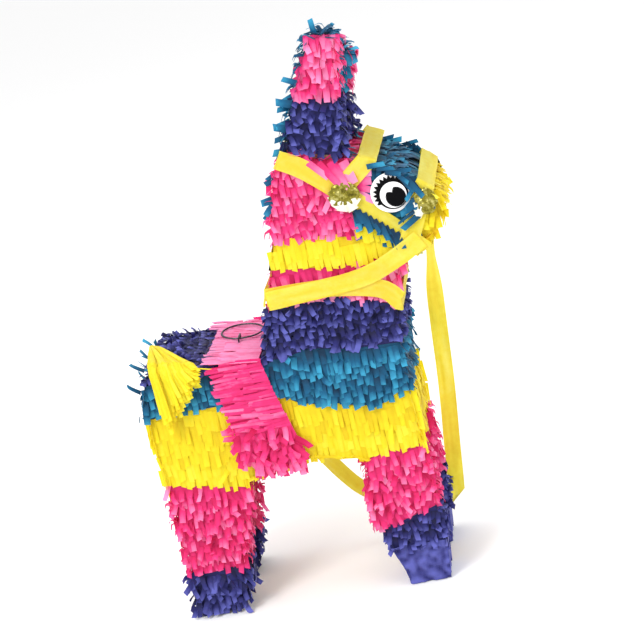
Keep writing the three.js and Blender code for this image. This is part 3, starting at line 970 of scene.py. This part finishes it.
def add_ear_tufts(paper, rng, node, sign, top, slot):
    """Broad teal flaps that stick out behind an ear, one upright at its tip and a few at the nape."""
    style = NEAT.changed(tilt=8, tilt_spread=8, yaw=8, curl=26, stray=0, flat=14, tips=0.5)
    out = outward(sign)
    ear = widest_side(node, sign)
    for below_tip in (62, 58, 53, 74, 80, 86, 40, 100):
        z = top - below_tip
        if not ear.span(z):
            continue
        aim = Vector((-0.75, sign * rng.uniform(-0.1, 0.2), rng.uniform(-0.4, 0.5))).normalized()
        root = Vector((ear.span(z)[0] + 3, sign * rng.uniform(48, 57), z))
        add_flap(paper, rng, style, root, aim, out, rng.uniform(11, 15), 0.55, slot, width=7)
    low, high = ear.span(top - 4)
    tip = Vector(((low + high) / 2 - 3, sign * 50, top - 3))
    add_flap(paper, rng, style, tip, Vector((0.05, 0, 1)).normalized(), out, 15, 0.6, slot, width=6.5)
    nape = widest_side("head_pink_crepe", sign)
    for z in (434, 429, 411, 405, 399):
        root = Vector((nape.span(z)[0] + 3, sign * rng.uniform(48, 57), z))
        aim = Vector((-0.8, 0, rng.uniform(-0.7, 0.1))).normalized()
        add_flap(paper, rng, style, root, aim, out, rng.uniform(9, 12), 0.35, slot, width=7)


def make_lid():
    rng = random.Random(7)
    paper = Paper()
    top = [patch for patch in patches_of("fill_flap_crepe")[1] if patch.normal.z > 0.9]
    backing(paper, "fill_flap_crepe", [], top)
    for patch in top:
        fringe_edge(paper, rng, patch, CRUMPLED)
    paper.build("fill_flap_fringe", [PURPLE], "flap", "purple_crepe", ["fill_flap_crepe"])


# ---------------------------------------------------------------- saddle

class Saddle:
    """The faces of the CAD saddle band that its paper follows."""

    OUTER_Y = 62
    PAPER_Y = 59.6          # middle plane to the strip's paper on a side
    HEM = 158               # height of its lower end
    TUFTS = 192             # below this height it is crumpled into tufts

    def __init__(self):
        triangles = triangles_of("saddle_band")
        side = [t for t in triangles if t[1].y < -0.99 and abs(abs(t[0][0].y) - self.OUTER_Y) < 0.3]
        self.patch = SidePatch(-self.OUTER_Y, -1, boundary_loops(side)[0])
        heights = [z for _, z in self.patch.outline]
        self.low, self.high = min(heights) + 0.5, max(heights) - 6
        tops = [t for t in triangles if t[1].z > 0.9]
        self.out = max(tops, key=lambda t: t[2])[1]
        self.corner = max((p for corners, _, _ in tops for p in corners),
                          key=lambda p: p.x - abs(p.z - 266) * 0.01)

    def edges(self, z):
        """x of the rear and the front edge at a height."""
        return self.patch.span(min(max(z, self.low), self.high))

    def top(self, behind, y):
        """A point on the top, some way behind the front edge."""
        along = Vector((self.out.z, 0, -self.out.x))
        return Vector((self.corner.x, y, self.corner.z)) + along * -behind - self.out * 2.4


def make_saddle():
    """A broad strip of pink crepe, cut crosswise on top and down the sides, crumpled near the belly."""
    rng = random.Random(11)
    paper = Paper()
    saddle = Saddle()
    cut = Style(width=4.2, tilt=1.5, tilt_spread=2.5, yaw=4, curl=7, stray=0, spread=0.12, flat=4)
    add_saddle_strip(paper, saddle)
    for facing in SIDES.values():
        add_saddle_side(paper, rng, saddle, facing, cut)
    add_saddle_top(paper, rng, saddle, cut)
    for facing in SIDES.values():
        add_saddle_hem(paper, rng, saddle, facing)
    paper.build("saddle_fringe", [PINK], "donkey", "pink_crepe", ["saddle_band"])


def add_saddle_strip(paper, saddle):
    """The strip itself, from edge to edge down both sides and over the back."""
    for facing in SIDES.values():
        y = facing * (saddle.PAPER_Y + 0.2)
        grid = []
        z = 153.0
        while z <= 269:
            rear, front = saddle.edges(z)
            grid.append([(rear + 2 + (front - (rear + 2)) * t, y, z) for t in unit(6)])
            z += 5.8
        add_crumpled(paper, grid, outward(facing), 0.5, 0.35)
    # The top is painted lighter than the sides, 0.7 against 0.35: a painted highlight where light falls
    # from above.
    grid = [[tuple(saddle.top(48 * (1 - t), y)) for t in unit(6)] for y in range(-60, 61, 6)]
    add_crumpled(paper, grid, UP, 0.4, 0.7)


def add_saddle_side(paper, rng, saddle, facing, cut):
    """Tufts on the lower part, and above them three overlapping pieces of cut strip side by side."""
    tuft = CRUMPLED.changed(yaw=26, tilt=14, length=18, width=6.8, tips=0.4, flat=6.5)
    out = outward(facing)
    back = Vector((-1, 0, 0.02)).normalized()
    y = facing * saddle.PAPER_Y
    z = saddle.HEM
    while z < 264:
        rear, front = saddle.edges(z)
        if z < saddle.TUFTS:
            for _ in range(12):
                root = Vector((rng.uniform(rear, front - 2.5), y, z + rng.uniform(-2, 8)))
                add_flap(paper, rng, tuft, root, DOWN, out, rng.uniform(14, 23), rng.uniform(0.12, 0.5))
            z += 5.0
            continue
        for start, over, reach in ((front + 0.5, 0.6, 25), (front - 14, 1.1, 25), (front - 29, 1.6, 26)):
            root = Vector((start + rng.uniform(-0.4, 0.4), y + facing * over, z + rng.uniform(-1, 1)))
            length = min(reach + rng.uniform(-3, 4), start - rear + rng.uniform(-3, 9))
            if length > 4:
                add_flap(paper, rng, cut, root, back, out, length, 0.46, flat=2.6, taper=0.15)
        z += 3.3


def add_saddle_top(paper, rng, saddle, cut):
    out = saddle.out
    back = Vector((-out.z, 0, out.x))
    y = -60.0
    while y < 60:
        flare = 6 + 8 * (y + 60) / 120
        longest = 53 if abs(y) < LID_CLEARANCE else 80
        for start, over, reach in ((0.3, 0.0, 24), (15, 0.4, 24), (31, 0.8, 18 + flare)):
            root = saddle.top(start, y + rng.uniform(-0.8, 0.8)) + out * over
            length = min(reach + rng.uniform(-3, 2), longest - start)
            # Shade 0.95 against 0.46 for the strips on the sides: a painted highlight on the top.
            add_flap(paper, rng, cut, root, back, out, length, 0.95, flat=2.2, width=5.6)
        y += 3.1


def add_saddle_hem(paper, rng, saddle, facing):
    """The ragged lower end, with a few flaps that stick out behind and three curls in front."""
    hem = LOOSE.changed(width=6.6, tilt=10, yaw=9, curl=24, tips=0.45, spread=0.2, flat=8)
    curled = Style(width=4.5, tilt=10, tilt_spread=1, yaw=6, curl=150, stray=0, tips=0.3, flat=12)
    out = outward(facing)
    rear, front = saddle.edges(saddle.HEM)
    x = rear - 1
    while x < front:
        root = Vector((x, facing * saddle.PAPER_Y, saddle.HEM + 4))
        add_flap(paper, rng, hem, root, DOWN, out, rng.uniform(18, 25), rng.uniform(0.4, 0.6))
        x += rng.uniform(4.2, 6.0)
    for z in (199, 194, 188):
        aim = Vector((-1, 0, rng.uniform(-0.3, 0.1))).normalized()
        add_flap(paper, rng, hem, Vector((saddle.edges(z)[0] + 2, facing * 60, z)), aim, out, 13, 0.6)
    aim = Vector((0.05, 0, -1)).normalized()
    for x in (-22, -32, -47):
        add_flap(paper, rng, curled, Vector((x, facing * 60, saddle.HEM)), aim, out, 16, 0.6)


# ---------------------------------------------------------------- tail

TAIL_APEX = Vector((-153, 0, 276))
TAIL_Y = -60.5              # the strips bend down over the near side here


def make_tail():
    """Yellow strips tied together at the middle of the rump's upper edge, fanned over the near corner."""
    rng = random.Random(23)
    paper = Paper()
    count = 44
    for layer in range(3):
        for i in range(count):
            t = max(0.0, (i + rng.uniform(-0.4, 0.4)) / (count - 1))
            end_x = -141 + 47 * t ** 0.9 + rng.uniform(-2, 2)
            end_z = 214 + 46 * t ** 1.25 + rng.uniform(-4, 8) + layer * 4
            if i in (1, 2) and layer == 0:
                end_z -= 8
            cross = abs(TAIL_Y) / (abs(TAIL_Y) + 270 - end_z)
            bulge = 0.7 + layer * 1.3 + rng.uniform(0, 0.9) + 1.5 * math.sin(t * 21)
            add_tail_strip(paper, rng, -142 + 38 * t, (end_x, end_z), cross, bulge, t)
    add_tail_strip(paper, rng, -100, (-84, 264.5), 0.86, 2.5, 1.0)
    paper.build("tail_fan", [YELLOW], "tail", "yellow_crepe", ["tail_tassel"])


def add_tail_strip(paper, rng, corner_x, end, cross, bulge, t):
    """One strip from the knot over the corner at corner_x to its end. cross is the share of its length on
    the back, bulge its height over what lies beneath, and t its place in the fan from rear to front."""
    shade = min(max(rng.gauss(0.55, 0.14), 0.1), 0.95)
    rows, shades, places = [], [], []
    steps = 16
    width = rng.uniform(4.0, 5.6)
    seed = rng.uniform(0, 60)
    start = TAIL_APEX + Vector((2.5 * t - 1, rng.uniform(-2, 2), rng.uniform(-1, 1)))
    corner = Vector((corner_x, TAIL_Y, 272 - 0.11 * (corner_x + 148)))
    end = point(end, TAIL_Y - 1.2 - bulge)
    for i in range(steps + 1):
        s = i / steps
        if s < cross:
            p = start.lerp(corner, s / cross)
            side = Vector((1, 0.25, 0))
            lift = UP
        else:
            p = corner.lerp(end, (s - cross) / (1 - cross))
            side = Vector((1, 0, 0.35 * (1 - t)))
            lift = outward(-1)
        near = math.exp(-((s - cross) / 0.13) ** 2)
        p = p + lift * (bulge * min(1, s * 4)) + Vector((0, -1.6, 1.6)) * near * 0.8
        spread = width * (0.30 + 0.70 * min(1, s * 2.2)) / 2
        wave = rng.uniform(-0.25, 0.25)
        tip = 0.9 if s > 0.93 else 1.0
        side = side.normalized() * spread * tip
        rows.append([p - side, p + lift * 0.6 + side * wave, p + side])
        # Painted shade on the strip's edges and a painted highlight along its raised middle.
        shades.append([shade - 0.12, shade + 0.1, shade - 0.12])
        places.append([(seed + offset, s * 100, 0) for offset in (0, 2, 4)])
    paper.grid(rows, shades, places)


# ---------------------------------------------------------------- ribbons

def smooth_path(points, step=4.0):
    """Places about a step apart along a curve through points (Catmull-Rom)."""
    padded = [points[0], *points, points[-1]]
    found = []
    for a, b, c, d in zip(padded, padded[1:], padded[2:], padded[3:]):
        count = max(1, round(math.dist(b, c) / step))
        for i in range(count):
            t = i / count
            found.append(tuple(0.5 * (2 * q + (r - p) * t
                                      + (2 * p - 5 * q + 4 * r - s) * t * t
                                      + (3 * q - p - 3 * r + s) * t ** 3)
                               for p, q, r, s in zip(a, b, c, d)))
    found.append(tuple(points[-1]))
    return found


def along_side(line, height, facing):
    """Stations (point, out) along a line on one side, some height above the crepe."""
    return [(point(place, facing * (HALF_WIDTH + height)), outward(facing)) for place in smooth_path(line)]


def round_loop(line, height, first_out, last_out):
    """Stations all round the donkey: along one side, across, back along the other side, across."""
    stations = along_side(line, height, -1)
    stations += crossing(line[-1], last_out, height, 1)
    stations += reversed(along_side(line, height, 1))
    stations += crossing(line[0], first_out, height, -1)
    stations.append(stations[0])
    return stations


def crossing(place, out, height, way):
    """Stations from one side to the other over an edge of the body, rounded at both corners."""
    base = point(place)
    out = point(out).normalized()

    def corner(sign, degrees):
        angle = math.radians(degrees)
        turn = outward(sign * math.cos(angle)) + out * math.sin(angle)
        return base + outward(sign * HALF_WIDTH) + turn * height, turn

    found = [corner(-way, degrees) for degrees in (25, 50, 75)]
    steps = 26
    for i in range(1, steps):
        y = -way * (HALF_WIDTH - HALF_WIDTH * 2 * i / steps)
        found.append((base + outward(y) + out * height, out))
    return found + [corner(way, degrees) for degrees in (75, 50, 25)]


def finish_ribbon(paper, name, node):
    piece = paper.build(name, [RIBBON], "donkey", "yellow_ribbon", [node])


def lay_ribbon(name, node, stations, seed):
    """A ribbon of crepe laid along stations, with soft creases along it."""
    paper = Paper()
    rows, shades, places = [], [], []
    length = 0.0
    across = [-1, -0.7, -0.35, 0, 0.35, 0.7, 1]
    points = [p for p, _ in stations]
    for i, (p, out) in enumerate(stations):
        tangent = (points[min(i + 1, len(points) - 1)] - points[max(i - 1, 0)]).normalized()
        side = tangent.cross(out).normalized()
        if i:
            length += (p - points[i - 1]).length
        half = RIBBON_WIDTH / 2 * (1 + 0.06 * noise.noise(Vector((length * 0.03, seed, 0))))
        row = []
        for u in across:
            ripple = 0.7 * noise.noise(Vector((length * 0.035, u * 1.6 + seed, 3.0)))
            crease = 0.35 * math.cos(u * 9 + seed) * noise.noise(Vector((length * 0.02, seed, 9.0)))
            row.append(p + side * half * u + out * (ripple + crease))
        rows.append(row)
        shades.append([0.55 + 0.25 * noise.noise(Vector((length * 0.02, u * 2.5, seed))) for u in across])
        places.append([(u * RIBBON_WIDTH * 1.4, length * 0.12, seed) for u in across])
    paper.grid(rows, shades, places)
    finish_ribbon(paper, name, node)


def make_ribbons():
    crown = round_loop(CROWN, 1.6, (-0.84, 0.55), (0.45, -0.89))
    lay_ribbon("bridle_crown", "bridle_crown_ribbon", crown, 1.0)
    nose = round_loop(NOSE_BAND, 2.6, (0.45, -0.89), (0.67, 0.75))
    lay_ribbon("bridle_nose", "bridle_nose_ribbon", nose, 2.0)
    brow = along_side(BROW, 2.4, -1) + crossing(BROW[-1], (0.46, 0.89), 2.4, 1)
    brow += reversed(along_side(BROW, 2.4, 1))
    lay_ribbon("bridle_brow", "bridle_brow_ribbon", brow, 3.0)
    collar = round_loop(COLLAR, 1.8, (-0.96, 0.27), (0.99, -0.15))
    lay_ribbon("collar", "collar_ribbon", collar, 4.0)
    lay_ribbon("right_rein_ribbon", "right_rein", along_side(RIGHT_REIN, 4.0, -1), 5.0)
    make_left_rein()


SEVEN = [-1, -0.66, -0.33, 0, 0.33, 0.66, 1]


def make_left_rein():
    """The loose rein: down from the nose, folded sharply at its lowest point, up behind the fore leg."""
    width = 17.0
    down = smooth_path(LEFT_REIN_DOWN, 5.0)
    back = smooth_path(LEFT_REIN_BACK, 5.0)
    before, after = unit_step(down[-2], down[-1]), unit_step(back[0], back[1])
    fold_way = (before + after).normalized()
    side = Vector((-before.z, 0, before.x))
    rows = []
    for i in range(len(down) - 3):
        y = 64.2 + 3.0 * math.sin(i * 0.16) * min(1, i / 10)
        rows.append(ribbon_row(down, i, width, y, twist(down[i][1])))
    fold = point(down[-1])
    reach = 1 / fold_way.dot(side)
    rows.append([fold + outward(64.8) + fold_way * reach * width / 2 * u for u in SEVEN])
    mirrored = -(side - 2 * fold_way * fold_way.dot(side))
    turned = 1 if Vector((-after.z, 0, after.x)).dot(-mirrored) > 0 else -1
    for i in range(3, len(back)):
        rows.append(ribbon_row(back, i, width * turned, 66.2 - 2.0 * math.sin(i * 0.2)))
    paper = Paper()
    length = 0.0
    shades, places = [], []
    middle = len(SEVEN) // 2
    for i, row in enumerate(rows):
        if i:
            length += (row[middle] - rows[i - 1][middle]).length
        shades.append([0.5 + 0.3 * noise.noise(Vector((length * 0.012, u * 2.5, 6.0))) for u in SEVEN])
        places.append([(u * width * 1.4, length * 0.12, 6.0) for u in SEVEN])
    paper.grid(rows, shades, places)
    finish_ribbon(paper, "left_rein_ribbon", "left_rein")


def twist(z):
    """How far the rein turns on itself between the mouth and the chest, radians."""
    return math.radians(64) * math.exp(-((z - 300) / 38) ** 2)


def unit_step(a, b):
    return point((b[0] - a[0], b[1] - a[1])).normalized()


def ribbon_row(line, i, width, y, turn=0.0):
    """Seven points across a softly rippled ribbon in an upright plane; turn (radians) twists it out."""
    step = unit_step(line[max(i - 1, 0)], line[min(i + 1, len(line) - 1)])
    side = Vector((-step.z, 0, step.x)) * math.cos(turn) + outward(math.sin(turn))
    row = []
    for u in SEVEN:
        ripple = 1.4 * noise.noise(Vector((i * 0.21, u * 1.3, 8.0)))
        row.append(point(line[i], y + ripple) + side * width / 2 * u)
    return row


# ---------------------------------------------------------------- rosettes and eyes

def make_rosettes():
    spots = (("cheek", CHEEK, 14.5, 11.5, 5), ("nose", NOSE, 11, 12.5, 2))
    for side, facing in SIDES.items():
        for spot, place, wide, high, ends in spots:
            rng = random.Random(facing + len(spot))
            paper = Paper()
            centre = point(place, facing * (HALF_WIDTH + 5.2))
            for i in range(ends):
                angle = math.radians(200 + 28 * i + rng.uniform(-6, 6))
                add_ribbon_end(paper, centre - outward(facing * 0.9), angle, facing, rng)
            add_foil(paper, centre, wide, high, facing)
            node = f"{side}_{spot}_rosette"
            paper.build(f"{side}_{spot}_foil", [FOIL, PALE], "donkey", "gold_foil", [node])


def add_foil(paper, centre, wide, high, facing):
    """A crumpled round of foil with a ragged edge."""
    x = centre.x
    rings, spokes = 9, 44
    rows, shades, places = [], [], []
    for r in range(rings + 1):
        row = []
        for k in range(spokes + 1):
            a = 2 * math.pi * (k % spokes) / spokes
            ragged = 1 + 0.10 * noise.noise(Vector((math.cos(a) * 3, math.sin(a) * 3, x)))
            t = r / rings * (ragged if r > 2 else 1)
            px, pz = wide * t * math.cos(a), high * t * math.sin(a)
            crumple = noise.noise(Vector((px * 0.30, pz * 0.30, x))) * 1.3
            crumple += abs(noise.noise(Vector((px * 0.75, pz * 0.75, x + 9))))
            rise = 1.6 * (1 - t * t) + crumple * (1 - 0.5 * t)
            row.append(Vector((px, facing * rise, pz)))
        rows.append([centre + p for p in row])
        shades.append([0.5] * len(row))
        places.append([(p.x, p.z, 0) for p in row])
    paper.grid(rows, shades, places)


def add_ribbon_end(paper, centre, angle, facing, rng):
    """One short pale ribbon end that shows from under a rosette."""
    way = Vector((math.cos(angle), 0, math.sin(angle)))
    side = Vector((-way.z, 0, way.x))
    reach = rng.uniform(14.5, 17.5)
    rows, shades, places = [], [], []
    for t in unit(6):
        p = centre + way * reach * t + outward(facing * 1.4 * math.sin(t * 3))
        half = 3.0 + 2.2 * t
        rows.append([p - side * half, p + outward(facing * 0.7), p + side * half])
        # Painted shade on the edges, darkest on one side, and a painted highlight along the raised middle.
        shades.append([0.25, 0.75, 0.35])
        places.append([(-half, t * 3, 0), (0, t * 3, 0), (half, t * 3, 0)])
    paper.grid(rows, shades, places, 1)


def add_card(paper, outline, y, facing, slot):
    """A flat card shape: outline in (x, z), its front face at y."""
    thick = 0.6
    start = len(paper.points)
    count = len(outline)
    for depth in (0, thick):
        for place in outline:
            paper.points.append(point(place, y - facing * depth))
            paper.shades.append(0.5)
            paper.places.append((*place, 0))
    front = range(start, start + count)
    back = range(start + count, start + 2 * count)
    paper.face(tuple(front[::-facing]), slot)
    paper.face(tuple(back[::facing]), slot)
    for i in range(count):
        j = (i + 1) % count
        paper.face((front[i], back[i], back[j], front[j]), slot)


def round_outline(cx, cz, radius, extra=None, count=96):
    """A circle, its radius changed by extra(degrees)."""
    found = []
    for i in range(count):
        degrees = 360 * i / count
        r = radius + (extra(degrees) if extra else 0)
        a = math.radians(degrees)
        found.append((cx + r * math.cos(a), cz + r * math.sin(a)))
    return found


def lashes(degrees):
    """Teeth round the upper rear of the eye."""
    if not 40 < degrees < 214:
        return 0
    part = ((degrees - 40) / 14.5) % 1
    return 3.4 * (1 - abs(2 * part - 1))


def notch(degrees):
    """The bite out of the pupil."""
    gap = abs(degrees - 118)
    return -4.2 * max(0, 1 - gap / 26)


def make_eyes():
    """Round cards on one another: white, black with lashes, white, and the pupil."""
    white, black = range(2)
    for side, facing in SIDES.items():
        x, z = EYE
        if facing > 0:
            z -= 3
        paper = Paper()
        cards = ((white, round_outline(x, z, 18.6)),
                 (black, round_outline(x + 1.2, z - 1.2, 14.4, lashes, 288)),
                 (white, round_outline(x + 1.9, z - 2.2, 12.2)),
                 (black, round_outline(x + 3.8, z - 4.2, 9.2, notch)))
        for layer, (slot, outline) in enumerate(cards):
            add_card(paper, outline, facing * (HALF_WIDTH + 3.4 + 0.7 * layer), facing, slot)
        paper.build(f"{side}_eye_card", [WHITE, BLACK], "donkey", "eye_paper", [f"{side}_eye"])


# ---------------------------------------------------------------- carried-over CAD nodes

def finish_cad_nodes():
    for name, node in nodes.items():
        if name.endswith(("_panel", "_strip")) or name in ("fill_flap", "hanger_plate"):
            material = CARDBOARD
        elif name in ("hanger_loop", "hanger_staple"):
            material = WIRE
        else:
            continue
        for slot in node.material_slots:
            slot.material = material


make_camera()
make_studio()
make_ribbons()
make_bands()
make_ears()
make_lid()
make_saddle()
make_tail()
make_rosettes()
make_eyes()
finish_cad_nodes()
